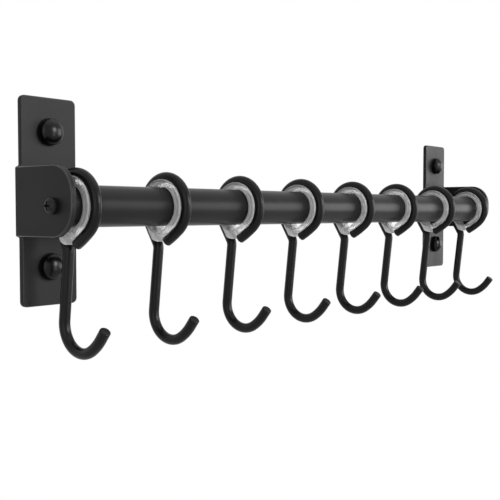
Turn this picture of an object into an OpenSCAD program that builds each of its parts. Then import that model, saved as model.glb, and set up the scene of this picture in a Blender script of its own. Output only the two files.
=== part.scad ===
// Wall rail for kitchen utensils: two steel brackets carry a round tube,
// and eight bent-rod hooks hang on the tube in plastic liners.
// The back of the brackets lies in the plane y = 0, the front faces -Y.
// The origin is the middle of the four wall screws, on that plane.

/* [Rail] */
// Overall width, over the outer faces of the two ears
overall_w = 406.4; // [300:0.1:600]
// Outside diameter of the tube
rail_d = 19; // [16:0.1:22]
// Wall of the tube
rail_wall = 1.2; // [0.8:0.1:2]
// Distance from the wall to the tube's axis
rail_reach = 28.6; // [26:0.1:34]
// Height of the wall screws' middle above the tube's axis
rail_drop = 3.2; // [0:0.1:5]

/* [Brackets] */
// Height of a wall plate
plate_h = 97; // [92:0.1:130]
// Width of a wall plate
plate_w = 30.5; // [26:0.1:40]
// Sheet thickness with its coat
sheet_t = 2.8; // [2:0.1:4]
// Corner radius of a wall plate
plate_corner_r = 2; // [1:0.1:6]
// Height of the wall screws' middle above the middle of the plate and ear
plate_drop = 1.1; // [0:0.1:3]
// Height of an ear
ear_h = 32; // [28:0.1:38]
// Distance from the wall to the front of an ear
ear_reach = 41.2; // [40:0.1:50]
// Radius of an ear's two front corners
ear_corner_r = 14; // [8:0.1:14]
// Distance that an ear stands outside the side of its plate
ear_overhang = 1.55; // [1.3:0.05:2.5]
// Radius of the fillet in the corner between plate and ear
corner_fillet_r = 1; // [0.5:0.1:2]
// Radius where the side of a plate runs out into the edge of its ear
ear_root_r = 1.2; // [0.6:0.1:1.2]

/* [Wall screws] */
// Height between the two screws of a bracket
wall_screw_pitch = 62.7; // [56:0.1:70]
// Shank diameter
wall_screw_d = 4.2; // [3.7:0.1:5]
// Shank length from the underside of the head
wall_screw_l = 10; // [9:0.5:50]
// Length of the screw's point
wall_point_l = 3; // [2:0.1:4]
// Diameter of the smooth neck between head and thread
wall_neck_d = 3.6; // [3:0.1:4]
// Length of the neck behind the plate
wall_neck_out = 0.3; // [0.2:0.05:1]
// Head diameter
wall_head_d = 7.6; // [6.8:0.1:8]
// Head height
wall_head_h = 2.4; // [1.8:0.1:2.6]
// Clearance all round the shank in the plate and in the cap's base
wall_hole_clear = 0.3; // [0.2:0.05:0.5]

/* [Screw caps] */
// Diameter of a cap
cap_d = 12.2; // [11.6:0.1:14]
// Height of a cap above its base
cap_h = 5.2; // [4.6:0.1:7]
// Height of the cap's straight side
cap_skirt_h = 1.9; // [1:0.1:2.4]
// Wall of the cap
cap_wall = 0.9; // [0.6:0.1:1]
// Diameter of the base that the cap snaps on
cap_base_d = 12.9; // [12.4:0.1:14.6]
// Thickness of the base's flange
cap_base_t = 0.7; // [0.5:0.05:1]
// Height of the base's snap ring above its flange
cap_lip_h = 1.5; // [1:0.1:1.8]
// Wall of the base's snap ring
cap_lip_t = 0.8; // [0.6:0.05:0.9]
// Clearance between cap and snap ring
cap_clear = 0.05; // [0.03:0.01:0.1]

/* [End screws] */
// Shank diameter
end_screw_d = 4; // [3:0.1:5]
// Shank length from the underside of the head
end_screw_l = 14; // [10:0.5:18]
// Head diameter
end_head_d = 7.3; // [6.6:0.1:9]
// Height of the head's straight rim
end_head_rim = 1.9; // [1:0.1:2.4]
// Height of the head's crown above its rim
end_head_crown = 2; // [1:0.1:2.4]
// Width of a cross slot
cross_w = 0.9; // [0.6:0.1:1.2]
// Length of a cross slot
cross_l = 4.2; // [3:0.1:4.6]
// Depth of the cross slots
cross_depth = 1.9; // [1:0.1:2.2]
// Clearance all round the shank in the ear
end_hole_clear = 0.2; // [0.1:0.05:0.4]
// Length of the plug in the tube's end
plug_l = 18; // [16:1:24]
// Clearance of the plug in the tube and of the screw in the plug
plug_clear = 0.05; // [0.03:0.01:0.1]

/* [Liners] */
// Running clearance between tube and liner
liner_clear = 0.4; // [0.3:0.05:0.6]
// Thickness of the liner under the hook's rod
liner_floor_t = 1.7; // [1.4:0.05:2.4]
// Clearance between the hook's rod and the liner's groove
groove_clear = 0.3; // [0.3:0.05:0.5]
// Height of the liner's flanges above the floor of the groove
liner_flange_h = 2.15; // [1.6:0.05:2.4]
// Thickness of a flange at its rim
liner_flange_t = 1.5; // [1:0.05:2]
// Angle of the slit at the bottom of the liner
liner_slit = 22; // [12:1:40]
// Direction of the slit, turned from straight down towards the wall
liner_slit_turn = 8; // [-15:1:15]

/* [Hooks] */
// Distance from an ear's inner face to the middle plane of the first hook
hook_end_gap = 9.1; // [8:0.05:20]
// Rod diameter
rod_d = 5.2; // [4:0.1:6]
// Height of the knee's corner below the middle of the ring, past the ring's own radius
knee_drop = 4.9; // [4.7:0.05:8]
// Distance of the knee's corner behind the tube's axis
knee_back = 5.3; // [3:0.1:7]
// Bend radius of the knee, on the rod's middle line
knee_r = 5; // [3.2:0.1:6]
// Lean of the shank towards the wall, downwards
shank_lean = 6.4; // [0:0.1:8]
// Length of the shank, from the knee's corner to the hook's bend
shank_l = 32.3; // [26:0.1:40]
// Bend radius of the hook, on the rod's middle line
hook_r = 12.6; // [10:0.1:14]
// Angle of the hook's bend
hook_sweep = 127.5; // [110:0.5:140]
// Radius of the wider bend towards the tip
tip_r = 24.2; // [15:0.1:40]
// Angle of the bend towards the tip
tip_sweep = 21; // [5:0.5:25]
// Straight length at the tip
tip_l = 5; // [2:0.1:8]
// Angle from straight down to the point where the ring's free end runs off straight
free_turn = 39; // [34:0.5:50]
// Straight length at the ring's free end
free_l = 9.8; // [7:0.1:10]

/* [Hidden] */
$fn = 96;
// One overrun serves all cuts
over = 1;
hook_count = 8;
bracket_screws = 2;

// Body places
ear_out_x = overall_w / 2;
ear_in_x = ear_out_x - sheet_t;
plate_out_x = ear_out_x - ear_overhang;
plate_mid_x = plate_out_x - plate_w / 2;
rail_y = -rail_reach;
rail_z = -rail_drop;
plate_z = -plate_drop;

// The liner sits on the tube and the hook's rod lies in the liner's groove
liner_in_r = rail_d / 2 + liner_clear;
groove_floor_r = liner_in_r + liner_floor_t;
liner_out_r = groove_floor_r + liner_flange_h;
groove_r = rod_d / 2 + groove_clear;
ring_r = groove_floor_r + groove_r;
liner_w = 2 * (groove_r + liner_flange_t);
hook_pitch = 2 * (ear_in_x - hook_end_gap) / (hook_count - 1);

// The leg behind the tube runs from the ring, as its tangent, to the knee's corner
knee_z = -(ring_r + knee_drop);
knee_far = norm([knee_back, knee_z]);
leg_l = sqrt(pow(knee_far, 2) - pow(ring_r, 2));
leg_turn = atan2(knee_z, knee_back) + acos(ring_r / knee_far);
knee_turn = shank_lean - leg_turn;
knee_cut = knee_r * tan(knee_turn / 2);
ring_sweep = 270 - free_turn - leg_turn;

// Where the rod's steps join, a slim step runs this far into the next and is this much thinner
rod_lap = 0.3;
rod_hair = 0.04;

// The rod's middle line from the free end to the tip. Each step is a length and an angle:
// a straight piece has no angle, and a bend has its arc's radius in place of the length.
// A positive angle turns to the left of the way along the rod, seen from +X.
ROD = [
    [free_l, 0],
    [ring_r, -ring_sweep],
    [leg_l - knee_cut, 0],
    [knee_r, knee_turn],
    [shank_l - knee_cut, 0],
    [hook_r, -hook_sweep],
    [tip_r, -tip_sweep],
    [tip_l, 0]
];
// The free end, relative to the middle of the ring, and the rod's heading there
free_at = ring_r * [-sin(free_turn), -cos(free_turn)];
free_heading = 180 - free_turn;
rod_start = free_at - free_l * [cos(free_heading), sin(free_heading)];

// The wall screws are counted across the top and then across the bottom
function wall_screw_at(i) = [
    (i % 2 == 1 ? -1 : 1) * plate_mid_x,
    0,
    (i <= 2 ? 1 : -1) * wall_screw_pitch / 2
];
function hook_x(i) = (i - (hook_count + 1) / 2) * hook_pitch;
function left_of(heading) = [-sin(heading), cos(heading)];
function along(heading) = [cos(heading), sin(heading)];
function swing(turn) = turn > 0 ? 1 : -1;
// Where the next step of the rod starts, and its heading
function next_at(at, heading, step) =
    step[1] == 0
    ? at + step[0] * along(heading)
    : at + swing(step[1]) * step[0] * (left_of(heading) - left_of(heading + step[1]));

module rounded_rectangle(w, h, r) {
    square([w - 2 * r, h], center = true);
    square([w, h - 2 * r], center = true);
    for (x = [-1, 1], z = [-1, 1]) translate([x * (w / 2 - r), z * (h / 2 - r)]) circle(r);
}

// Lays a flat outline up against the wall, its first axis along X and its second along Z
module against_wall(thickness) {
    rotate([90, 0, 0]) linear_extrude(thickness) children();
}

// Draws its children, made along +Z from a seat at z = 0, standing forward from the wall
module forward_from(depth) {
    translate([0, -depth, 0]) rotate([90, 0, 0]) children();
}

// What fills the inner corner between two straight edges, up to a round of the given radius
module corner_fillet(r) {
    difference() {
        square(r);
        translate([r, r]) circle(r);
    }
}

// The wall plate with the foot of the ear, drilled for the wall screws
module plate_sheet() {
    difference() {
        against_wall(sheet_t) {
            translate([plate_mid_x, plate_z]) rounded_rectangle(plate_w, plate_h, plate_corner_r);
            translate([ear_in_x, plate_z - ear_h / 2]) square([sheet_t, ear_h]);
            for (z = [-1, 1]) translate([plate_out_x, plate_z + z * ear_h / 2])
                scale([1, z]) corner_fillet(ear_root_r);
        }
        for (z = [-1, 1])
            translate([plate_mid_x, over, z * wall_screw_pitch / 2]) rotate([90, 0, 0])
                cylinder(d = wall_screw_d + 2 * wall_hole_clear, h = sheet_t + 2 * over);
    }
}

// The ear, a flat tongue with two round front corners, drilled for the end screw
module ear_sheet() {
    straight = ear_reach - ear_corner_r;
    difference() {
        translate([ear_in_x, 0, plate_z]) rotate([90, 0, 90]) linear_extrude(sheet_t) {
            translate([-straight, -ear_h / 2]) square([straight, ear_h]);
            translate([-ear_reach, -ear_h / 2 + ear_corner_r])
                square([ear_reach, ear_h - 2 * ear_corner_r]);
            for (z = [-1, 1])
                translate([-straight, z * (ear_h / 2 - ear_corner_r)]) circle(ear_corner_r);
        }
        translate([ear_in_x - over, rail_y, rail_z]) rotate([0, 90, 0])
            cylinder(d = end_screw_d + 2 * end_hole_clear, h = sheet_t + 2 * over);
    }
}

// Plate and ear are one piece, with a fillet in the corner between them
module bracket() {
    color([0.16, 0.16, 0.165]) union() {
        plate_sheet();
        ear_sheet();
        translate([ear_in_x, -sheet_t, plate_z - ear_h / 2]) linear_extrude(ear_h)
            rotate([0, 0, 180]) corner_fillet(corner_fillet_r);
    }
}

module rail_tube() {
    color([0.2, 0.2, 0.205]) translate([-ear_in_x, rail_y, rail_z]) rotate([0, 90, 0])
        difference() {
            cylinder(d = rail_d, h = 2 * ear_in_x);
            translate([0, 0, -over])
                cylinder(d = rail_d - 2 * rail_wall, h = 2 * (ear_in_x + over));
        }
}

// The threaded plug pressed into the right end of the tube
module end_plug() {
    color([0.55, 0.55, 0.56]) translate([ear_in_x - plug_l, rail_y, rail_z]) rotate([0, 90, 0])
        difference() {
            cylinder(r = rail_d / 2 - rail_wall - plug_clear, h = plug_l);
            translate([0, 0, -over]) cylinder(r = end_screw_d / 2 + plug_clear, h = plug_l + 2 * over);
        }
}

// A low crown: the part of a ball that stands on a disc of the given diameter
module crown(d, h) {
    ball_r = (pow(d / 2, 2) + pow(h, 2)) / (2 * h);
    intersection() {
        translate([0, 0, h - ball_r]) sphere(ball_r);
        cylinder(d = d, h = h);
    }
}

// The pan-head screw through the right ear, with a cross recess
module end_screw() {
    color([0.09, 0.09, 0.09]) translate([ear_out_x, rail_y, rail_z]) rotate([0, 90, 0])
        difference() {
            union() {
                translate([0, 0, -end_screw_l]) cylinder(d = end_screw_d, h = end_screw_l);
                cylinder(d = end_head_d, h = end_head_rim);
                translate([0, 0, end_head_rim]) crown(end_head_d, end_head_crown);
            }
            for (turn = [0, 90]) rotate([0, 0, turn])
                translate([-cross_l / 2, -cross_w / 2, end_head_rim + end_head_crown - cross_depth])
                    cube([cross_l, cross_w, cross_depth + over]);
        }
}

// The wood screw under a cap: a pan head on the cap's base, a neck through the plate's hole,
// and behind the plate the threaded part with its point
module wall_screw(i) {
    neck_l = cap_base_t + sheet_t + wall_neck_out;
    thread_l = wall_screw_l - neck_l - wall_point_l;
    color([0.62, 0.62, 0.64]) translate(wall_screw_at(i)) forward_from(sheet_t + cap_base_t) {
        cylinder(d = wall_head_d, h = wall_head_h);
        translate([0, 0, -neck_l]) cylinder(d = wall_neck_d, h = neck_l);
        translate([0, 0, -neck_l - thread_l]) cylinder(d = wall_screw_d, h = thread_l);
        translate([0, 0, -wall_screw_l]) cylinder(d1 = 0, d2 = wall_screw_d, h = wall_point_l);
    }
}

// The washer under the screw's head, with the ring that the cap snaps on
module cap_base(i) {
    lip_r = cap_d / 2 - cap_wall - cap_clear;
    color([0.08, 0.08, 0.08]) translate(wall_screw_at(i)) forward_from(sheet_t) difference() {
        union() {
            cylinder(d = cap_base_d, h = cap_base_t);
            cylinder(r = lip_r, h = cap_base_t + cap_lip_h);
        }
        translate([0, 0, cap_base_t]) cylinder(r = lip_r - cap_lip_t, h = cap_lip_h + over);
        translate([0, 0, -over])
            cylinder(d = wall_screw_d + 2 * wall_hole_clear, h = cap_base_t + 2 * over);
    }
}

// The domed cap, hollow over the screw's head
module screw_cap(i) {
    color([0.07, 0.07, 0.07]) translate(wall_screw_at(i)) forward_from(sheet_t + cap_base_t)
        difference() {
            union() {
                cylinder(d = cap_d, h = cap_skirt_h);
                translate([0, 0, cap_skirt_h]) crown(cap_d, cap_h - cap_skirt_h);
            }
            translate([0, 0, -over]) cylinder(d = cap_d - 2 * cap_wall, h = cap_skirt_h + over);
            translate([0, 0, cap_skirt_h])
                crown(cap_d - 2 * cap_wall, cap_h - cap_skirt_h - cap_wall);
        }
}

// Turns a shape made round +Z so that it goes round the tube's axis, its own -Y downwards
module round_rail(i) {
    translate([hook_x(i), rail_y, rail_z]) rotate([90, 0, 90]) children();
}

// The split channel between tube and hook, open at the bottom
module liner(i) {
    color([0.72, 0.73, 0.72, 0.85]) round_rail(i)
        rotate([0, 0, -90 + liner_slit_turn + liner_slit / 2])
            rotate_extrude(angle = 360 - liner_slit) difference() {
                translate([liner_in_r, -liner_w / 2]) square([liner_out_r - liner_in_r, liner_w]);
                translate([ring_r, 0]) circle(groove_r);
            }
}

// One step of the rod in the flat of the hook, from a point and along a heading.
// A slim step is a hair thinner and runs on by lap into the steps at its ends.
module rod_step(at, heading, step, d, lap_before, lap_after) {
    if (step[1] == 0) {
        translate([at.x, at.y, 0]) rotate([0, 0, heading]) rotate([0, 90, 0])
            translate([0, 0, -lap_before]) cylinder(d = d, h = step[0] + lap_before + lap_after);
    } else {
        turn_before = lap_before / step[0] * 180 / PI;
        turn_after = lap_after / step[0] * 180 / PI;
        middle = at + swing(step[1]) * step[0] * left_of(heading);
        from = step[1] > 0 ? heading - 90 - turn_before : heading + 90 + step[1] - turn_after;
        translate([middle.x, middle.y, 0]) rotate([0, 0, from])
            rotate_extrude(angle = abs(step[1]) + turn_before + turn_after)
                translate([step[0], 0]) circle(d = d);
    }
}

// Steps take turns to be slim, so that two that meet never share a surface
module rod(steps, at, heading, n = 0) {
    if (n < len(steps)) {
        slim = n % 2 == 0;
        rod_step(
            at, heading, steps[n],
            d = slim ? rod_d - rod_hair : rod_d,
            lap_before = slim && n > 0 ? rod_lap : 0,
            lap_after = slim && n < len(steps) - 1 ? rod_lap : 0
        );
        rod(steps, next_at(at, heading, steps[n]), heading + steps[n][1], n + 1);
    }
}

// The hook, bent from one rod: a ring round the tube, a knee, a shank and the open hook
module hook(i) {
    color([0.12, 0.12, 0.12]) round_rail(i) rod(ROD, rod_start, free_heading);
}

mirror([1, 0, 0]) bracket();  // bracket_left
bracket();  // bracket_right
rail_tube();
mirror([1, 0, 0]) end_plug();  // end_plug_left
end_plug();  // end_plug_right
mirror([1, 0, 0]) end_screw();  // end_screw_left
end_screw();  // end_screw_right
for (i = [1 : 2 * bracket_screws]) {
    wall_screw(i);
    cap_base(i);
    screw_cap(i);
}
for (i = [1 : hook_count]) {
    liner(i);
    hook(i);
}
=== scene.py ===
"""Wall rail for kitchen utensils: finishes, rounded edges, plastic liners, light and camera."""

from math import acos, atan2, cos, degrees, hypot, pi, radians, sin, sqrt, tan

import bmesh
import bpy
from mathutils import Matrix, Vector


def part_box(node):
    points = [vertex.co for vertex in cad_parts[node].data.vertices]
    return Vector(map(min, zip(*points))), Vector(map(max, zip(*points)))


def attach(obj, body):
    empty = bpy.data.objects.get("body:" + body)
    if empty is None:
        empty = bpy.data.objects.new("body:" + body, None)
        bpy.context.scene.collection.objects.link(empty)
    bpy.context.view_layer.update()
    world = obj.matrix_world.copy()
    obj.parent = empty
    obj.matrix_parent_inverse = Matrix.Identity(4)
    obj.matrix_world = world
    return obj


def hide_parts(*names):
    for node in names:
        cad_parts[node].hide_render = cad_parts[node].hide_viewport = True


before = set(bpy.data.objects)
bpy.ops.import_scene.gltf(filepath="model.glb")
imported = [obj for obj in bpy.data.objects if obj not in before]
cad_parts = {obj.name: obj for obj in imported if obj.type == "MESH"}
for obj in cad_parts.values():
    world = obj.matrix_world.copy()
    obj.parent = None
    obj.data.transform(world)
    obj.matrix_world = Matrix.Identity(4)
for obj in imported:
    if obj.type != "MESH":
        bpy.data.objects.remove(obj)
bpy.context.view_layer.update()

MM = 0.001
HOOKS = range(1, 9)
CORNERS = range(1, 5)
RIGHT_CORNERS = (2, 4)
SIDES = ("left", "right")
QUARTER_TURN = Matrix.Rotation(radians(90), 4, "X")

# Places read from the solids in model.glb
TUBE_LOW, TUBE_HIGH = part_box("rail_tube")
AXIS_Y = (TUBE_LOW.y + TUBE_HIGH.y) / 2
AXIS_Z = (TUBE_LOW.z + TUBE_HIGH.z) / 2
EAR_IN_X = TUBE_HIGH.x

# Sizes of the hook's rod, as in the solids but for its free end, which curls slightly inward
ROD_R = 2.6 * MM
RING_R = 14.5 * MM
FREE_L = 10.5 * MM
FREE_R = 60 * MM
FREE_TURN = 39
KNEE_DROP = 4.9 * MM
KNEE_BACK = 5.3 * MM
KNEE_R = 5 * MM
SHANK_LEAN = 6.4
SHANK_L = 32.3 * MM
BEND_R = 12.6 * MM
BEND_SWEEP = 127.5
TIP_R = 24.2 * MM
TIP_SWEEP = 21
TIP_L = 5 * MM
END_ROUND = 0.55 * MM
ROD_FACETS = 32

# How finely the middle lines of rod and liner are drawn
ROD_SPACING = 1.2 * MM
LINER_SPACING = 0.5 * MM
TURN_STEP = 3.0

# Sizes of the liner's channel
GROOVE_R = 2.9 * MM
LINER_IN = 9.9 * MM
LINER_OUT = 13.5 * MM
LINER_W = 8.3 * MM
BACK_TAIL_L = 13.8 * MM
FRONT_TAIL_L = 10.4 * MM
TAIL_ROUND = 3.4 * MM
TAIL_DROP = 2.9 * MM
TAIL_EASE = 0.35 * MM
TAIL_CURVE = 1.5
LINER_SOFT_EDGE = 0.5 * MM

# How dense the liner looks, by how far beyond REACH_LOW it lies from the tube's axis: pairs of a
# share of 1 / REACH_PER_M and the density there. Thin in the rim, so the dark rod shows through;
# dense in the tails, which is painted light: the pale tails stand in for light shining through them
# from behind.
REACH_LOW = 10 * MM
REACH_PER_M = 160.0
DENSITY_AND_PAINTED_LIGHT = ((0.0, 0.50), (0.26, 0.50), (0.38, 0.22), (0.50, 0.22), (0.62, 0.64), (1.0, 0.78))

# Painted light: a factor on that density, by height above or below the axis, which makes the liner
# paler well above and below it in place of light falling from above: the base up to LEVEL_LOW over
# LEVEL_PER_M, then rising to the base and the whole gain
LEVEL_PER_M = 143.0
LEVEL_LOW = 0.57
LEVEL_PAINTED_LIGHT_GAIN = 0.36
LEVEL_BASE = 0.80

# Grain of the coats and clouds of the plastic; most of a noise lies between low and high
NOISE_LOW = 0.3
NOISE_HIGH = 0.7
FINE_PEEL_SCALE = 3.1
FINE_PEEL_SHARE = 0.35
PEEL_DEPTH = 0.05 * MM
DRIFT_SCALE = 45.0
ZINC_PALER = 1.15
ZINC_PEEL_SCALE = 1500
ZINC_PEEL_HEIGHT = 0.15
CLOUD_SCALE = 260.0
SPECK_SCALE = 1400.0
CLOUD_HEIGHT = 0.12
CLOUD_DEPTH = 0.08 * MM
MILK_DIM = (0.88, 0.89, 0.88, 1)
MILK_PALE = (0.97, 0.98, 0.97, 1)


# Shader nodes


def new_group(kind, name, inputs, outputs):
    """A node group, what it is given and what it puts out. None keeps a socket's own value."""
    group = bpy.data.node_groups.new(name, kind)
    for label, socket_kind, value in inputs:
        socket = group.interface.new_socket(label, in_out="INPUT", socket_type=socket_kind)
        if value is not None:
            socket.default_value = value
    for label, socket_kind in outputs:
        group.interface.new_socket(label, in_out="OUTPUT", socket_type=socket_kind)
    given = group.nodes.new("NodeGroupInput").outputs
    return group, given, group.nodes.new("NodeGroupOutput").inputs


def plug(tree, socket, value):
    """Gives a socket its value: a plain one, or another node's output."""
    if isinstance(value, bpy.types.NodeSocket):
        tree.links.new(value, socket)
    else:
        socket.default_value = value


def feed(tree, sockets, **values):
    for label, value in values.items():
        plug(tree, sockets[label.replace("_", " ")], value)


def math_node(tree, operation, *values, clamp=False):
    node = tree.nodes.new("ShaderNodeMath")
    node.operation = operation
    node.use_clamp = clamp
    for socket, value in zip(node.inputs, values):
        plug(tree, socket, value)
    return node.outputs[0]


def noise_node(tree, vector, scale, detail=2.0, roughness=0.5):
    node = tree.nodes.new("ShaderNodeTexNoise")
    feed(tree, node.inputs, Vector=vector, Scale=scale, Detail=detail, Roughness=roughness)
    return node.outputs["Fac"]


def spread(tree, factor, low, high):
    """Maps the range that a noise mostly keeps to onto another range."""
    node = tree.nodes.new("ShaderNodeMapRange")
    feed(tree, node.inputs, Value=factor, From_Min=NOISE_LOW, From_Max=NOISE_HIGH)
    feed(tree, node.inputs, To_Min=low, To_Max=high)
    return node.outputs["Result"]


def blend_node(tree, factor, first, second):
    """A colour between two others."""
    node = tree.nodes.new("ShaderNodeMix")
    node.data_type = "RGBA"
    feed(tree, node.inputs, Factor=factor, A=first, B=second)
    return node.outputs["Result"]


def bump_node(tree, height, strength, distance):
    node = tree.nodes.new("ShaderNodeBump")
    feed(tree, node.inputs, Height=height, Strength=strength, Distance=distance)
    return node.outputs["Normal"]


def make_coat_grain():
    """Orange peel and slow drift of a baked coat: a colour, a roughness and a normal."""
    group, given, out = new_group(
        "ShaderNodeTree",
        "coat grain",
        [
            ("Colour", "NodeSocketColor", (0.02, 0.02, 0.02, 1)),
            ("Pale colour", "NodeSocketColor", (0.03, 0.03, 0.03, 1)),
            ("Roughness low", "NodeSocketFloat", 0.4),
            ("Roughness high", "NodeSocketFloat", 0.5),
            ("Peel scale", "NodeSocketFloat", 900.0),
            ("Peel height", "NodeSocketFloat", 0.1),
        ],
        [
            ("Colour", "NodeSocketColor"),
            ("Roughness", "NodeSocketFloat"),
            ("Normal", "NodeSocketVector"),
        ],
    )
    place = group.nodes.new("ShaderNodeTexCoord").outputs["Object"]
    peel = noise_node(group, place, given["Peel scale"], 1.0)
    fine_scale = math_node(group, "MULTIPLY", given["Peel scale"], FINE_PEEL_SCALE)
    fine = noise_node(group, place, fine_scale, 2.0)
    drift = noise_node(group, place, DRIFT_SCALE, 3.0)
    height = math_node(group, "ADD", peel, math_node(group, "MULTIPLY", fine, FINE_PEEL_SHARE))
    shade = math_node(group, "MULTIPLY", math_node(group, "ADD", drift, fine), 0.5)
    pale_share = spread(group, shade, 0.0, 1.0)
    feed(
        group,
        out,
        Colour=blend_node(group, pale_share, given["Colour"], given["Pale colour"]),
        Roughness=spread(group, drift, given["Roughness low"], given["Roughness high"]),
        Normal=bump_node(group, height, given["Peel height"], PEEL_DEPTH),
    )
    return group


COAT_GRAIN = make_coat_grain()


def new_material(name):
    material = bpy.data.materials.new(name)
    material.use_nodes = True
    return material, material.node_tree, material.node_tree.nodes["Principled BSDF"]


def coat(name, colour, pale, roughness, peel_scale, peel_height, specular=0.5):
    """A painted or moulded surface with a fine peel."""
    material, tree, shader = new_material(name)
    grain = tree.nodes.new("ShaderNodeGroup")
    grain.node_tree = COAT_GRAIN
    feed(
        tree,
        grain.inputs,
        Colour=(*colour, 1),
        Pale_colour=(*pale, 1),
        Roughness_low=roughness[0],
        Roughness_high=roughness[1],
        Peel_scale=peel_scale,
        Peel_height=peel_height,
    )
    feed(
        tree,
        shader.inputs,
        Base_Color=grain.outputs["Colour"],
        Roughness=grain.outputs["Roughness"],
        Normal=grain.outputs["Normal"],
        Specular_IOR_Level=specular,
    )
    material.diffuse_color = (*colour, 1)
    return material


def zinc(name, colour, roughness):
    """Zinc plate: bare metal with a fine peel."""
    pale = tuple(part * ZINC_PALER for part in colour)
    material = coat(name, colour, pale, roughness, ZINC_PEEL_SCALE, ZINC_PEEL_HEIGHT)
    tree = material.node_tree
    feed(tree, tree.nodes["Principled BSDF"].inputs, Metallic=1.0)
    return material


def shine_on_roundings(material, weight, roughness):
    """A smoother, glossier coat where the powder draws thin over the sheet's rounded edges."""
    tree = material.node_tree
    mark = tree.nodes.new("ShaderNodeAttribute")
    mark.attribute_name = "rounding"
    shine = math_node(tree, "MULTIPLY", mark.outputs["Fac"], weight)
    shader = tree.nodes["Principled BSDF"]
    feed(tree, shader.inputs, Coat_Weight=shine, Coat_Roughness=roughness)


def liner_density_and_painted_light(tree, place):
    """Middling in the liner's floor, thin in its rim and dense in its two tails, which reach
    farthest from the tube's axis; and denser well above and below the axis than beside it. The
    dense tails and the extra density above and below the axis are painted light: paler plastic
    stands in for light shining through the tails and light falling from above."""
    apart = tree.nodes.new("ShaderNodeSeparateXYZ")
    feed(tree, apart.inputs, Vector=place)
    across = math_node(tree, "SUBTRACT", apart.outputs["Y"], AXIS_Y)
    height = math_node(tree, "SUBTRACT", apart.outputs["Z"], AXIS_Z)
    squares = [math_node(tree, "MULTIPLY", side, side) for side in (across, height)]
    reach = math_node(tree, "SQRT", math_node(tree, "ADD", *squares))
    beyond = math_node(tree, "SUBTRACT", reach, REACH_LOW)
    curve = tree.nodes.new("ShaderNodeFloatCurve")
    points = curve.mapping.curves[0].points
    points[0].location, points[1].location = DENSITY_AND_PAINTED_LIGHT[0], DENSITY_AND_PAINTED_LIGHT[-1]
    for share, dense in DENSITY_AND_PAINTED_LIGHT[1:-1]:
        points.new(share, dense)
    curve.mapping.update()
    feed(tree, curve.inputs, Value=math_node(tree, "MULTIPLY", beyond, REACH_PER_M))
    # Painted light: the density grows well above and below the axis, so the liner looks paler there
    level = math_node(tree, "MULTIPLY", math_node(tree, "ABSOLUTE", height), LEVEL_PER_M)
    past_low = math_node(tree, "SUBTRACT", level, LEVEL_LOW, clamp=True)
    gain = math_node(tree, "MULTIPLY", past_low, LEVEL_PAINTED_LIGHT_GAIN)
    factor = math_node(tree, "ADD", gain, LEVEL_BASE)
    return math_node(tree, "MULTIPLY", curve.outputs["Value"], factor)


def milky_plastic(name):
    """Soft see-through liner plastic: cloudy, and denser in some places than in others, where its
    paler look is partly painted light.
    """
    material, tree, shader = new_material(name)
    place = tree.nodes.new("ShaderNodeTexCoord").outputs["Object"]
    cloud = noise_node(tree, place, CLOUD_SCALE, 3.0, 0.6)
    specks = noise_node(tree, place, SPECK_SCALE, 2.0)
    height = math_node(tree, "ADD", cloud, specks)
    feed(
        tree,
        shader.inputs,
        Base_Color=blend_node(tree, spread(tree, cloud, 0.0, 1.0), MILK_DIM, MILK_PALE),
        Roughness=spread(tree, cloud, 0.30, 0.42),
        # Alpha: the density curve, with painted light in its dense tails and in its gain above and
        # below the axis
        Alpha=liner_density_and_painted_light(tree, place),
        Normal=bump_node(tree, height, CLOUD_HEIGHT, CLOUD_DEPTH),
        Specular_IOR_Level=0.45,
        Subsurface_Weight=0.8,
        Subsurface_Radius=(1, 1, 1),
        Subsurface_Scale=4 * MM,
    )
    material.diffuse_color = (0.7, 0.7, 0.7, 0.7)
    return material


BRACKET_COAT = coat(
    "bracket powder coat",
    colour=(0.0070, 0.0070, 0.0072),
    pale=(0.0100, 0.0100, 0.0102),
    roughness=(0.40, 0.48),
    peel_scale=1100,
    peel_height=0.22,
    specular=0.16,
)
shine_on_roundings(BRACKET_COAT, weight=0.7, roughness=0.2)
TUBE_COAT = coat(
    "tube powder coat",
    colour=(0.008, 0.008, 0.0082),
    pale=(0.012, 0.012, 0.0122),
    roughness=(0.31, 0.37),
    peel_scale=1100,
    peel_height=0.16,
    specular=0.133,
)
HOOK_COAT = coat(
    "hook powder coat",
    colour=(0.002, 0.002, 0.002),
    pale=(0.004, 0.004, 0.004),
    roughness=(0.27, 0.33),
    peel_scale=1300,
    peel_height=0.20,
    specular=0.17,
)
CAP_PLASTIC = coat(
    "screw cap plastic",
    colour=(0.001, 0.001, 0.001),
    pale=(0.002, 0.002, 0.002),
    roughness=(0.23, 0.29),
    peel_scale=1500,
    peel_height=0.10,
    specular=0.20,
)
CAP_BASE_PLASTIC = coat(
    "cap base plastic",
    colour=(0.002, 0.002, 0.002),
    pale=(0.003, 0.003, 0.003),
    roughness=(0.26, 0.34),
    peel_scale=1500,
    peel_height=0.15,
    specular=0.05,
)
SCREW_BLACK = coat(
    "black screw finish",
    colour=(0.008, 0.008, 0.008),
    pale=(0.012, 0.012, 0.012),
    roughness=(0.36, 0.46),
    peel_scale=2200,
    peel_height=0.2,
    specular=0.18,
)
SCREW_ZINC = zinc("zinc screw", (0.60, 0.61, 0.63), (0.24, 0.36))
PLUG_ZINC = zinc("zinc plug", (0.48, 0.48, 0.50), (0.34, 0.48))
LINER_PLASTIC = milky_plastic("liner plastic")


# Helpers for meshes


def middle_of(node):
    """The middle of a node's box."""
    return [(low + high) / 2 for low, high in zip(*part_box(node))]


def add_object(name, data, material=None):
    piece = bpy.data.objects.new(name, data)
    bpy.context.scene.collection.objects.link(piece)
    if material is not None:
        data.materials.clear()
        data.materials.append(material)
    return piece


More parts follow.
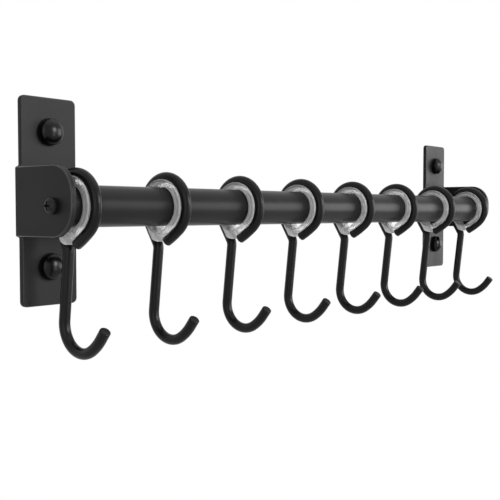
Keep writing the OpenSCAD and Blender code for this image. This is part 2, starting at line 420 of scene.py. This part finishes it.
def open_mesh(*meshes):
    """The meshes as one shape to work on."""
    shape = bmesh.new()
    for mesh in meshes:
        shape.from_mesh(mesh)
    return shape


def close_into(mesh, shape):
    """Writes the shape into the mesh and lets go of it."""
    shape.to_mesh(mesh)
    shape.free()
    return mesh


def finish_mesh(mesh, smooth_angle=35):
    mesh.shade_smooth()
    mesh.set_sharp_from_angle(angle=radians(smooth_angle))


def as_plain_mesh(piece):
    """The evaluated shape as a plain mesh, with the modifiers gone."""
    graph = bpy.context.evaluated_depsgraph_get()
    mesh = bpy.data.meshes.new_from_object(piece.evaluated_get(graph), depsgraph=graph)
    piece.modifiers.clear()
    return mesh


def lathe(name, outline, steps, material, place):
    """Turns an outline of (radius, height) round +Z, and lays it where place says."""
    shape = bmesh.new()
    rings = []
    for radius, height in outline:
        angles = [2 * pi * n / steps for n in range(steps if radius else 1)]
        spots = [(radius * cos(angle), radius * sin(angle), height) for angle in angles]
        rings.append([shape.verts.new(spot) for spot in spots])
    on_axis = outline[0][0] == 0
    for lower, upper in zip(rings, rings[1:] + ([] if on_axis else rings[:1])):
        for n in range(steps):
            after = (n + 1) % steps
            corners = []
            for ring, index in ((lower, n), (lower, after), (upper, after), (upper, n)):
                vertex = ring[index if len(ring) > 1 else 0]
                if vertex not in corners:
                    corners.append(vertex)
            if len(corners) > 2:
                shape.faces.new(corners)
    bmesh.ops.recalc_face_normals(shape, faces=shape.faces)
    bmesh.ops.transform(shape, matrix=place, verts=shape.verts)
    mesh = close_into(bpy.data.meshes.new(name), shape)
    finish_mesh(mesh)
    return add_object(name, mesh, material)


def arc(centre, radius, start, end, steps):
    """Points on an arc in the plane, with angles in degrees."""
    angles = [radians(start + (end - start) * n / steps) for n in range(steps + 1)]
    return [(centre[0] + radius * cos(a), centre[1] + radius * sin(a)) for a in angles]


def skin(shape, rings):
    """Joins rings of equal length with a wall, and closes the first and the last."""
    count = len(rings[0])
    for lower, upper in zip(rings, rings[1:]):
        for n in range(count):
            after = (n + 1) % count
            shape.faces.new((lower[n], lower[after], upper[after], upper[n]))
    shape.faces.new(reversed(rings[0]))
    shape.faces.new(rings[-1])


# For rounding a solid's edges: angles in degrees
WELD_DISTANCE = 0.002 * MM
FLAT_ANGLE = 0.6
SHARP_ANGLE = 40


def rounded_copy(node, name, width, material, segments):
    """A node's own solid with its sharp edges rounded."""
    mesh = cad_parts[node].data.copy()
    shape = open_mesh(mesh)
    bmesh.ops.remove_doubles(shape, verts=shape.verts, dist=WELD_DISTANCE)
    bmesh.ops.dissolve_limit(
        shape,
        angle_limit=radians(FLAT_ANGLE),
        verts=shape.verts,
        edges=shape.edges,
        delimit={"NORMAL"},
    )
    close_into(mesh, shape)
    mesh.shade_smooth()
    piece = add_object(name, mesh, material)
    bevel = piece.modifiers.new("round the edges", "BEVEL")
    bevel.width = width
    bevel.segments = segments
    bevel.limit_method = "ANGLE"
    bevel.angle_limit = radians(SHARP_ANGLE)
    bevel.harden_normals = True
    bevel.use_clamp_overlap = True
    return piece


# The hook's rod


def rod_steps():
    """The rod's middle line as (length or radius, turn), from the free end to the tip."""
    knee_z = -(RING_R + KNEE_DROP)
    knee_far = hypot(KNEE_BACK, knee_z)
    leg = sqrt(knee_far**2 - RING_R**2)
    leg_turn = degrees(atan2(knee_z, KNEE_BACK)) + degrees(acos(RING_R / knee_far))
    knee_turn = SHANK_LEAN - leg_turn
    knee_cut = KNEE_R * tan(radians(knee_turn / 2))
    ring_sweep = 270 - FREE_TURN - leg_turn
    return [
        (FREE_R, -degrees(FREE_L / FREE_R)),
        (RING_R, -ring_sweep),
        (leg - knee_cut, 0),
        (KNEE_R, knee_turn),
        (SHANK_L - knee_cut, 0),
        (BEND_R, -BEND_SWEEP),
        (TIP_R, -TIP_SWEEP),
        (TIP_L, 0),
    ]


def walk(steps, at, heading, spacing):
    """Points along a row of straight and round steps, with the heading at each."""
    points = [(Vector(at), heading)]
    for size, turn in steps:
        if turn == 0:
            count = max(1, round(size / spacing))
            way = Vector((cos(radians(heading)), sin(radians(heading))))
            start = points[-1][0]
            points += [(start + way * size * (n + 1) / count, heading) for n in range(count)]
            continue
        count = max(2, round(abs(turn) / TURN_STEP))
        side = size if turn > 0 else -size
        start = points[-1][0]
        middle = start + side * Vector((-sin(radians(heading)), cos(radians(heading))))
        for n in range(count):
            now = heading + turn * (n + 1) / count
            points.append((middle - side * Vector((-sin(radians(now)), cos(radians(now)))), now))
        heading += turn
    return points


def before_ring(length):
    """Start and heading of a slightly curved end of this length that runs into the ring."""
    free_at = RING_R * Vector((-sin(radians(FREE_TURN)), -cos(radians(FREE_TURN))))
    low = radians(180 - FREE_TURN)
    high = low + length / FREE_R
    middle = free_at - FREE_R * Vector((-sin(low), cos(low)))
    return middle + FREE_R * Vector((-sin(high), cos(high))), degrees(high)


def rod_line():
    start, heading = before_ring(FREE_L)
    return walk(rod_steps(), start, heading, ROD_SPACING)


def end_tree(tree, mesh, finish, out):
    """Ends a geometry tree: instances made real, and the material set."""
    realize = tree.nodes.new("GeometryNodeRealizeInstances")
    feed(tree, realize.inputs, Geometry=mesh)
    cover = tree.nodes.new("GeometryNodeSetMaterial")
    feed(tree, cover.inputs, Geometry=realize.outputs["Geometry"], Material=finish)
    tree.links.new(cover.outputs["Geometry"], out)


def make_rod_tree():
    """Sweeps a round section along a line and closes its ends."""
    tree, given, out = new_group(
        "GeometryNodeTree",
        "bent rod",
        [
            ("Line", "NodeSocketGeometry", None),
            ("Rod radius", "NodeSocketFloat", None),
            ("Sides", "NodeSocketInt", None),
            ("Finish", "NodeSocketMaterial", None),
        ],
        [("Rod", "NodeSocketGeometry")],
    )
    section = tree.nodes.new("GeometryNodeCurvePrimitiveCircle")
    feed(tree, section.inputs, Resolution=given["Sides"], Radius=given["Rod radius"])
    taper = tree.nodes.new("GeometryNodeInputRadius")
    sweep = tree.nodes.new("GeometryNodeCurveToMesh")
    feed(tree, sweep.inputs, Curve=given["Line"], Profile_Curve=section.outputs["Curve"])
    feed(tree, sweep.inputs, Scale=taper.outputs["Radius"], Fill_Caps=True)
    end_tree(tree, sweep.outputs["Mesh"], given["Finish"], out["Rod"])
    return tree


def grow(holder, tree, **values):
    """The mesh that a node tree makes of an object, with the tree's inputs set; the object goes."""
    nodes = holder.modifiers.new("grow", "NODES")
    nodes.node_group = tree
    for item in tree.interface.items_tree:
        label = item.name.replace(" ", "_")
        if item.in_out == "INPUT" and label in values:
            nodes[item.identifier] = values[label]
    mesh = as_plain_mesh(holder)
    bpy.data.objects.remove(holder)
    return mesh


def rounded_ends(points, radius):
    """Adds points near both ends, with a share of the radius at each, so the ends round off."""
    shares = [(0.0, 1 - END_ROUND / radius)]
    for angle in (30, 60, 90):
        along = END_ROUND * (1 - cos(radians(angle)))
        share = 1 - END_ROUND * (1 - sin(radians(angle))) / radius
        shares.append((along, share))
    first, second = points[0][0], points[1][0]
    last, before = points[-1][0], points[-2][0]
    into = (second - first).normalized()
    back = (before - last).normalized()
    head = [(first + into * along, share) for along, share in shares]
    tail = [(last + back * along, share) for along, share in reversed(shares)]
    return head + [(p, 1.0) for p, _ in points[1:-1]] + tail


def make_hook(index, tree, points):
    x = middle_of("hook_%d" % index)[0]
    line = bpy.data.curves.new("rod_line_%d" % index, "CURVE")
    line.dimensions = "3D"
    spline = line.splines.new("POLY")
    spline.points.add(len(points) - 1)
    for spot, (place, share) in zip(spline.points, points):
        spot.co = (x, AXIS_Y + place.x, AXIS_Z + place.y, 1)
        spot.radius = share
    holder = add_object("rod_line_%d" % index, line)
    mesh = grow(holder, tree, Rod_radius=ROD_R, Sides=ROD_FACETS, Finish=HOOK_COAT)
    shape = open_mesh(mesh)
    bmesh.ops.recalc_face_normals(shape, faces=shape.faces)
    close_into(mesh, shape)
    finish_mesh(mesh)
    piece = add_object("bent_hook_%d" % index, mesh)
    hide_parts("hook_%d" % index)
    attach(piece, "hook_%d" % index)


# The liner: a channel of soft plastic bent round the tube under the rod


def channel_section():
    """The channel's outline as (side, distance inward from the rod's middle line)."""
    half = LINER_W / 2
    rim = RING_R - LINER_OUT
    floor = RING_R - LINER_IN
    lip = sqrt(GROOVE_R**2 - rim**2)
    lip_angle = degrees(atan2(rim, lip))
    soft = LINER_SOFT_EDGE
    outer = arc((half - soft, floor - soft), soft, 90, 0, 4)
    outer += arc((half - soft, rim + soft), soft, 0, -90, 4)
    groove = arc((0, 0), GROOVE_R, lip_angle, 180 - lip_angle, 18)
    left = arc((-half + soft, rim + soft), soft, 270, 180, 4)
    left += arc((-half + soft, floor - soft), soft, 180, 90, 4)
    return outer + groove + left


def make_liner(index, line):
    x = middle_of("liner_%d" % index)[0]
    section = channel_section()
    shape = bmesh.new()
    rings = []
    for (place, heading), drop in zip(line, end_drops(line)):
        inward = Vector((sin(radians(heading)), -cos(radians(heading))))
        rim = RING_R - LINER_OUT + drop
        ring = []
        for side, depth in section:
            depth = max(depth, rim)
            y = AXIS_Y + place.x + inward.x * depth
            z = AXIS_Z + place.y + inward.y * depth
            ring.append(shape.verts.new((x + side, y, z)))
        rings.append(ring)
    skin(shape, rings)
    bmesh.ops.recalc_face_normals(shape, faces=shape.faces)
    mesh = close_into(bpy.data.meshes.new("channel_liner_%d" % index), shape)
    finish_mesh(mesh, smooth_angle=50)
    piece = add_object("channel_liner_%d" % index, mesh, LINER_PLASTIC)
    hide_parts("liner_%d" % index)
    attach(piece, "hook_%d" % index)


def liner_line():
    """The part of the rod's line that the liner follows, with a tail at each end."""
    start, heading = before_ring(FRONT_TAIL_L)
    front = (FREE_R, -degrees(FRONT_TAIL_L / FREE_R))
    return walk([front, rod_steps()[1], (BACK_TAIL_L, 0)], start, heading, LINER_SPACING)


def end_drops(line):
    """How far the flanges are cut down at each point, rounding them off towards both ends."""
    so_far = [0.0]
    for (before, _), (here, _) in zip(line, line[1:]):
        so_far.append(so_far[-1] + (here - before).length)
    drops = []
    for run in so_far:
        rest = so_far[-1] - run
        left = min(1.0, min(run, rest) / TAIL_ROUND)
        along_tail = max(FRONT_TAIL_L - run, BACK_TAIL_L - rest, 0.0) / TAIL_ROUND
        drops.append(TAIL_DROP * (1 - left) ** TAIL_CURVE + TAIL_EASE * min(1.0, along_tail))
    return drops


HOOK_LINE = rounded_ends(rod_line(), ROD_R)
LINER_LINE = liner_line()
ROD_TREE = make_rod_tree()
for hook in HOOKS:
    make_hook(hook, ROD_TREE, HOOK_LINE)
    make_liner(hook, LINER_LINE)


# Brackets, tube, plugs and end screws


PLATE_W = 30.5 * MM
PLATE_H = 97 * MM
PLATE_CORNER_R = 2.6 * MM
SHEET_T = 2.8 * MM
EAR_H = 32 * MM
EAR_REACH = 41.2 * MM
EAR_CORNER_R = 14 * MM
EAR_OVERHANG = 1.55 * MM
EAR_ROOT_R = 1.2 * MM
CORNER_FILLET_R = 1 * MM
SCREW_HOLE_R = 2.4 * MM
PLATE_Z = -1.1 * MM
EDGE_ROUND = 0.8 * MM
BACK_ROUND = 0.4 * MM
EDGE_STEPS = 6
END_SCREW_ROUND = 0.16 * MM
EAR_OFF_WALL = 0.02 * MM
FILLET_HIDDEN = 0.3 * MM

# The least cosine of half a corner's turn, which caps how far drawing in moves a sharp corner
LEAST_HALF_TURN = 0.3

# How squarely a face has to look forward or sideways to count as a rounding, or as flat
EAR_ROUNDING = 0.3
PLATE_ROUNDING = 0.7
FLAT = 0.99


def inset(outline, by):
    """The outline, given against the clock, drawn in by a distance along its edges' normals."""
    moved = []
    for n, point in enumerate(outline):
        before = Vector(outline[n - 1])
        here = Vector(point)
        after = Vector(outline[(n + 1) % len(outline)])
        first = (here - before).normalized()
        second = (after - here).normalized()
        normal = Vector((-first.y - second.y, first.x + second.x)).normalized()
        half_turn = normal.dot(Vector((-first.y, first.x)))
        moved.append(here + normal * by / max(LEAST_HALF_TURN, half_turn))
    return moved


def edge_levels(radius):
    """How far in and how far up the points of a rounded edge lie, from its flat face outwards."""
    angles = [radians(90 * n / EDGE_STEPS) for n in range(EDGE_STEPS + 1)]
    return [(radius * (1 - sin(angle)), radius * (1 - cos(angle))) for angle in angles]


def add_slab(shape, outline, thickness, rounds, place, keep=lambda point: point):
    """A slab with its outline in the plane, and the edges of its low and high face rounded."""
    levels = edge_levels(rounds[0])
    levels += [(by, thickness - height) for by, height in reversed(edge_levels(rounds[1]))]
    rings = []
    for by, height in levels:
        ring = [keep(point) for point in inset(outline, by)]
        rings.append([shape.verts.new(place @ Vector((*point, height))) for point in ring])
    skin(shape, rings)


def plate_outline():
    """The plate, in X and Z, with the fillets that lead to the ear."""
    out_x = EAR_IN_X + SHEET_T - EAR_OVERHANG
    in_x, low, high = out_x - PLATE_W, PLATE_Z - PLATE_H / 2, PLATE_Z + PLATE_H / 2
    ear_low, ear_high, root = PLATE_Z - EAR_H / 2, PLATE_Z + EAR_H / 2, EAR_ROOT_R
    r = PLATE_CORNER_R
    line = arc((in_x + r, low + r), r, 180, 270, 8)
    line += arc((out_x - r, low + r), r, 270, 360, 8)
    line += arc((out_x + root, ear_low - root), root, 180, 90, 6)
    line += arc((out_x + root, ear_high + root), root, 270, 180, 6)
    line += arc((out_x - r, high - r), r, 0, 90, 8)
    return line + arc((in_x + r, high - r), r, 90, 180, 8)


def ear_outline():
    """The ear's tongue, as distance from the wall and Z."""
    low, high, r = PLATE_Z - EAR_H / 2, PLATE_Z + EAR_H / 2, EAR_CORNER_R
    line = [(0, high), (0, low)]
    line += arc((EAR_REACH - r, low + r), r, 270, 360, 24)
    return line + arc((EAR_REACH - r, high - r), r, 0, 90, 24)


def drilled_plate():
    """The right-hand plate, with the holes for its wall screws."""
    shape = bmesh.new()
    against_wall = Matrix(((1, 0, 0, 0), (0, 0, -1, 0), (0, 1, 0, 0), (0, 0, 0, 1)))
    add_slab(shape, plate_outline(), SHEET_T, (BACK_ROUND, EDGE_ROUND), against_wall)
    cutter = bmesh.new()
    for index in RIGHT_CORNERS:
        x, _, z = middle_of("cap_base_%d" % index)
        bmesh.ops.create_cone(
            cutter,
            cap_ends=True,
            segments=48,
            radius1=SCREW_HOLE_R,
            radius2=SCREW_HOLE_R,
            depth=2 * SHEET_T,
            matrix=Matrix.Translation((x, -SHEET_T / 2, z)) @ QUARTER_TURN,
        )
    drill = add_object("drill", close_into(bpy.data.meshes.new("drill"), cutter))
    plate = add_object("plate", close_into(bpy.data.meshes.new("plate"), shape))
    cut = plate.modifiers.new("drill", "BOOLEAN")
    cut.object = drill
    cut.solver = "EXACT"
    mesh = as_plain_mesh(plate)
    bpy.data.objects.remove(plate)
    bpy.data.objects.remove(drill)
    return mesh


def add_ear(shape):
    upright = Matrix(((0, 0, 1, EAR_IN_X), (-1, 0, 0, -EAR_OFF_WALL), (0, 1, 0, 0), (0, 0, 0, 1)))

    def up_to_wall(point):
        """The end at the wall stays where it is, and only the free edges are drawn in."""
        return Vector((0, point.y)) if point.x < 2 * EDGE_ROUND else point

    add_slab(shape, ear_outline(), SHEET_T, (BACK_ROUND, EDGE_ROUND), upright, up_to_wall)


def add_corner_fillet(shape):
    """The fillet in the corner of plate and ear, with its back hidden in both."""
    r = CORNER_FILLET_R
    deep_x, deep_y = EAR_IN_X + FILLET_HIDDEN, -SHEET_T + FILLET_HIDDEN
    section = [(deep_x, -SHEET_T - r), (deep_x, deep_y), (EAR_IN_X - r, deep_y)]
    section += arc((EAR_IN_X - r, -SHEET_T - r), r, 90, 0, 8)
    ends = [PLATE_Z + turn * (EAR_H / 2 - BACK_ROUND) for turn in (-1, 1)]
    skin(shape, [[shape.verts.new((*point, z)) for point in section] for z in ends])


def make_bracket_mesh(side):
    """The bracket at one end: a drilled plate, the ear, and the fillet in their corner."""
    shape = open_mesh(drilled_plate())
    add_ear(shape)
    add_corner_fillet(shape)
    if side == "left":
        bmesh.ops.scale(shape, vec=(-1, 1, 1), verts=shape.verts)
    bmesh.ops.recalc_face_normals(shape, faces=shape.faces)
    return close_into(bpy.data.meshes.new("bracket_mesh_" + side), shape)


def mark_roundings(mesh):
    """Stores with each face whether it belongs to the sheet's rounded edges."""
    mark = mesh.attributes.new("rounding", "FLOAT", "FACE")
    for face in mesh.polygons:
        on_ear = face.center.y < -SHEET_T - CORNER_FILLET_R
        facing = abs(face.normal.x if on_ear else face.normal.y)
        least = EAR_ROUNDING if on_ear else PLATE_ROUNDING
        mark.data[face.index].value = 1.0 if least < facing < FLAT else 0.0


def make_brackets():
    for side in SIDES:
        mesh = make_bracket_mesh(side)
        finish_mesh(mesh, smooth_angle=40)
        piece = add_object("coated_bracket_" + side, mesh, BRACKET_COAT)
        even = piece.modifiers.new("even out the shading", "WEIGHTED_NORMAL")
        even.keep_sharp = True
        even.weight = 100
        smooth = as_plain_mesh(piece)
        mark_roundings(smooth)
        piece.data = smooth
        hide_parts("bracket_" + side)
        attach(piece, "rail")


def make_end_screws():
    for side in SIDES:
        node = "end_screw_" + side
        piece = rounded_copy(node, "cross_screw_" + side, END_SCREW_ROUND, SCREW_BLACK, 2)
        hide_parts(node)
        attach(piece, "rail")


def finish_nodes():
    finishes = {"rail_tube": TUBE_COAT, "end_plug_left": PLUG_ZINC, "end_plug_right": PLUG_ZINC}
    for node, material in finishes.items():
        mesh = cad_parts[node].data
        mesh.materials.clear()
        mesh.materials.append(material)


# Wall screws under their caps

WALL_HEAD_R = 3.8 * MM
WALL_SHANK_R = 2.1 * MM
WALL_CORE_R = 1.55 * MM
WALL_NECK_R = 1.8 * MM
WALL_NECK_L = 3.8 * MM
WALL_SHANK_L = 10 * MM
WALL_POINT_L = 3 * MM
WALL_HEAD_H = 2.4 * MM
WALL_HEAD_EDGE = 0.1 * MM
WALL_HEAD_ROUND = 1.2 * MM
WALL_NECK_EASE = 0.3 * MM
THREAD_PITCH = 1.4 * MM
THREAD_START = 0.4 * MM
CAP_R = 6.1 * MM
CAP_SKIRT = 2.5 * MM
CAP_H = 5.2 * MM
CAP_WALL = 0.9 * MM
CAP_SHOULDER = 1.5 * MM
CAP_EDGE = 0.15 * MM
NEAR_THE_TOP = 89  # degrees, so that the hollow's arc ends just short of the axis
BASE_R = 6.45 * MM
BASE_T = 0.7 * MM
BASE_EDGE = 0.1 * MM
BASE_ROUND = 0.25 * MM
SNAP_R = 5.15 * MM
SNAP_WALL = 0.8 * MM
SNAP_H = 1.5 * MM
SHANK_HOLE_R = 2.4 * MM
TURNED_STEPS = 64
SCREW_STEPS = 48
SPIRAL_STEPS = 24
RIDGE_SIDES = 4


def make_thread_tree():
    """A pointed ridge wound round a shank, drawn in over the last stretch to the point."""
    tree, given, out = new_group(
        "GeometryNodeTree",
        "wood thread",
        [
            ("Core radius", "NodeSocketFloat", None),
            ("Ridge height", "NodeSocketFloat", None),
            ("Pitch", "NodeSocketFloat", None),
            ("Length", "NodeSocketFloat", None),
            ("Point length", "NodeSocketFloat", None),
            ("Finish", "NodeSocketMaterial", None),
        ],
        [("Thread", "NodeSocketGeometry")],
    )
    spiral = tree.nodes.new("GeometryNodeCurveSpiral")
    feed(
        tree,
        spiral.inputs,
        Resolution=SPIRAL_STEPS,
        Rotations=math_node(tree, "DIVIDE", given["Length"], given["Pitch"]),
        Start_Radius=given["Core radius"],
        End_Radius=given["Core radius"],
        Height=given["Length"],
    )
    place = tree.nodes.new("GeometryNodeInputPosition")
    apart = tree.nodes.new("ShaderNodeSeparateXYZ")
    feed(tree, apart.inputs, Vector=place.outputs["Position"])
    x, y, z = apart.outputs
    draw_in = math_node(tree, "DIVIDE", z, given["Point length"], clamp=True)
    joined = tree.nodes.new("ShaderNodeCombineXYZ")
    x, y = (math_node(tree, "MULTIPLY", side, draw_in) for side in (x, y))
    feed(tree, joined.inputs, X=x, Y=y, Z=z)
    move = tree.nodes.new("GeometryNodeSetPosition")
    feed(tree, move.inputs, Geometry=spiral.outputs["Curve"], Position=joined.outputs["Vector"])
    section = tree.nodes.new("GeometryNodeCurvePrimitiveCircle")
    feed(tree, section.inputs, Resolution=RIDGE_SIDES, Radius=given["Ridge height"])
    sweep = tree.nodes.new("GeometryNodeCurveToMesh")
    feed(tree, sweep.inputs, Curve=move.outputs["Geometry"], Fill_Caps=True)
    feed(tree, sweep.inputs, Profile_Curve=section.outputs["Curve"])
    end_tree(tree, sweep.outputs["Mesh"], given["Finish"], out["Thread"])
    return tree


def thread_mesh(tree):
    """The thread with its point at z = 0, wound up towards the head."""
    ridge = WALL_SHANK_R - WALL_CORE_R
    return grow(
        add_object("thread_holder", bpy.data.meshes.new("thread_holder")),
        tree,
        Core_radius=WALL_CORE_R,
        Ridge_height=ridge,
        Pitch=THREAD_PITCH,
        Length=WALL_SHANK_L - WALL_NECK_L - ridge - THREAD_START,
        Point_length=WALL_POINT_L,
        Finish=SCREW_ZINC,
    )


def cap_outline():
    """The cap's wall: up the outside over the dome, and down the hollow inside."""
    crown_h = CAP_H - CAP_SKIRT
    ball = (CAP_R**2 + crown_h**2) / (2 * crown_h)
    centre_h = CAP_H - ball
    reach = ball - CAP_SHOULDER
    shoulder_x = CAP_R - CAP_SHOULDER
    shoulder_h = centre_h + sqrt(reach**2 - shoulder_x**2)
    meet = degrees(atan2(shoulder_h - centre_h, shoulder_x))
    outside = [(CAP_R - CAP_EDGE, 0), (CAP_R, CAP_EDGE)]
    outside += arc((shoulder_x, shoulder_h), CAP_SHOULDER, 0, meet, 8)
    outside += arc((0, centre_h), ball, meet, 90, 20)[1:-1]
    inner_r = CAP_R - CAP_WALL
    inner_h = crown_h - CAP_WALL
    inner_ball = (inner_r**2 + inner_h**2) / (2 * inner_h)
    inner_centre_h = CAP_H - CAP_WALL - inner_ball
    low = degrees(atan2(CAP_SKIRT - inner_centre_h, inner_r))
    inside = arc((0, inner_centre_h), inner_ball, NEAR_THE_TOP, low, 10)
    return [(0, CAP_H)] + outside[::-1] + [(inner_r, 0)] + inside[::-1] + [(0, CAP_H - CAP_WALL)]


def base_outline():
    """The cap base's disc, with its hole and its snap ring."""
    line = [(SHANK_HOLE_R, 0), (BASE_R - BASE_EDGE, 0), (BASE_R, BASE_EDGE)]
    line += arc((BASE_R - BASE_ROUND, BASE_T - BASE_ROUND), BASE_ROUND, 0, 90, 4)
    line += [(SNAP_R, BASE_T), (SNAP_R, BASE_T + SNAP_H)]
    line += [(SNAP_R - SNAP_WALL, BASE_T + SNAP_H), (SNAP_R - SNAP_WALL, BASE_T)]
    return line + [(SHANK_HOLE_R, BASE_T)]


def screw_outline():
    """The wall screw from its point up to its head, whose underside is at height 0."""
    line = [(0, -WALL_SHANK_L), (WALL_CORE_R, -WALL_SHANK_L + WALL_POINT_L)]
    line += [(WALL_CORE_R, -WALL_NECK_L - WALL_NECK_EASE), (WALL_NECK_R, -WALL_NECK_L)]
    line += [(WALL_NECK_R, 0), (WALL_HEAD_R - WALL_HEAD_EDGE, 0), (WALL_HEAD_R, WALL_HEAD_EDGE)]
    middle = (WALL_HEAD_R - WALL_HEAD_ROUND, WALL_HEAD_H - WALL_HEAD_ROUND)
    return line + arc(middle, WALL_HEAD_ROUND, 0, 90, 6) + [(0, WALL_HEAD_H)]


def make_wall_fixings():
    thread = thread_mesh(make_thread_tree())
    for index in CORNERS:
        x, _, z = middle_of("cap_base_%d" % index)
        stand = Matrix.Translation((x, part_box("cap_base_%d" % index)[1].y, z)) @ QUARTER_TURN
        on_base = stand @ Matrix.Translation((0, 0, BASE_T))
        cap = lathe("domed_cap_%d" % index, cap_outline(), TURNED_STEPS, CAP_PLASTIC, on_base)
        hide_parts("screw_cap_%d" % index)
        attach(cap, "rail")
        base = lathe("snap_base_%d" % index, base_outline(), TURNED_STEPS, CAP_BASE_PLASTIC, stand)
        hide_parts("cap_base_%d" % index)
        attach(base, "rail")
        screw = lathe("pan_screw_%d" % index, screw_outline(), SCREW_STEPS, SCREW_ZINC, on_base)
        winding = thread.copy()
        winding.transform(on_base @ Matrix.Translation((0, 0, THREAD_START - WALL_SHANK_L)))
        close_into(screw.data, open_mesh(screw.data, winding))
        finish_mesh(screw.data, smooth_angle=30)
        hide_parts("wall_screw_%d" % index)
        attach(screw, "rail")


make_brackets()
make_end_screws()
finish_nodes()
make_wall_fixings()


# Floor, light and camera

PHOTO_PIXELS = 500
FOCAL_PIXELS = 827.05
SENSOR_MM = 36
CAMERA_PLACE = (-0.41902, -0.32642, -0.00613)
CAMERA_PITCH = -2.58
CAMERA_YAW = -49.28
FLOOR_Z = -1.3
FLOOR_SIZE = 6
SOFT_LIGHT = 0.43

# Lamps, which all look at the middle of the rail: place, size and power
LAMPS = {
    "softbox right": ((1.84, -1.2, 0.15), (1.1, 1.1), 18),
    "softbox middle": ((1.3, -1.78, 0.3), (0.5, 1.1), 2.5),
    "card front": ((0.56, -2.03, 0.64), (0.6, 0.7), 25),
    "strip front": ((0.45, -2.15, -0.15), (0.45, 1.3), 8),
    "card left": ((-2.0, -0.8, 0.3), (1.6, 1.6), 8),
    "top": ((0.1, -0.5, 1.6), (2.0, 1.3), 6),
}


def white_behind(tree, lit, glow_kind):
    """Plain white for camera, mirror and see-through rays, and the lit colour for all others."""
    rays = tree.nodes.new("ShaderNodeLightPath").outputs
    seen = math_node(tree, "MAXIMUM", rays["Is Camera Ray"], rays["Is Glossy Ray"])
    seen = math_node(tree, "MAXIMUM", seen, rays["Is Transmission Ray"])
    glow = tree.nodes.new(glow_kind)
    feed(tree, glow.inputs, Color=(1, 1, 1, 1), Strength=1.0)
    mix = tree.nodes.new("ShaderNodeMixShader")
    for socket, shade in zip(mix.inputs, (seen, lit, glow.outputs[0])):
        tree.links.new(shade, socket)
    return mix.outputs[0]


def make_floor():
    shape = bmesh.new()
    bmesh.ops.create_grid(shape, x_segments=8, y_segments=8, size=FLOOR_SIZE)
    bmesh.ops.translate(shape, vec=(0, 0, FLOOR_Z), verts=shape.verts)
    mesh = close_into(bpy.data.meshes.new("floor"), shape)
    material, tree, shader = new_material("floor white")
    feed(tree, shader.inputs, Base_Color=(0.8, 0.8, 0.8, 1), Roughness=0.8)
    seen = white_behind(tree, shader.outputs[0], "ShaderNodeEmission")
    feed(tree, tree.nodes["Material Output"].inputs, Surface=seen)
    add_object("floor", mesh, material)


def make_world():
    world = bpy.data.worlds.new("studio")
    bpy.context.scene.world = world
    world.use_nodes = True
    tree = world.node_tree
    soft = tree.nodes["Background"]
    feed(tree, soft.inputs, Color=(1, 1, 1, 1), Strength=SOFT_LIGHT)
    seen = white_behind(tree, soft.outputs[0], "ShaderNodeBackground")
    feed(tree, tree.nodes["World Output"].inputs, Surface=seen)


def soft_lamp(name, place, size, power):
    data = bpy.data.lights.new(name, "AREA")
    data.shape = "RECTANGLE"
    data.size, data.size_y = size
    data.energy = power
    lamp = add_object(name, data)
    lamp.location = place
    lamp.rotation_euler = (-Vector(place)).to_track_quat("-Z", "Y").to_euler()


def make_camera():
    data = bpy.data.cameras.new("camera")
    data.sensor_width = SENSOR_MM
    data.lens = FOCAL_PIXELS / PHOTO_PIXELS * SENSOR_MM
    data.clip_start = 0.01
    camera = add_object("camera", data)
    camera.location = CAMERA_PLACE
    camera.rotation_euler = (radians(90 + CAMERA_PITCH), 0, radians(CAMERA_YAW))
    bpy.context.scene.camera = camera


make_world()
make_floor()
for lamp, settings in LAMPS.items():
    soft_lamp(lamp, *settings)
make_camera()
bpy.context.scene.view_settings.view_transform = "Standard"
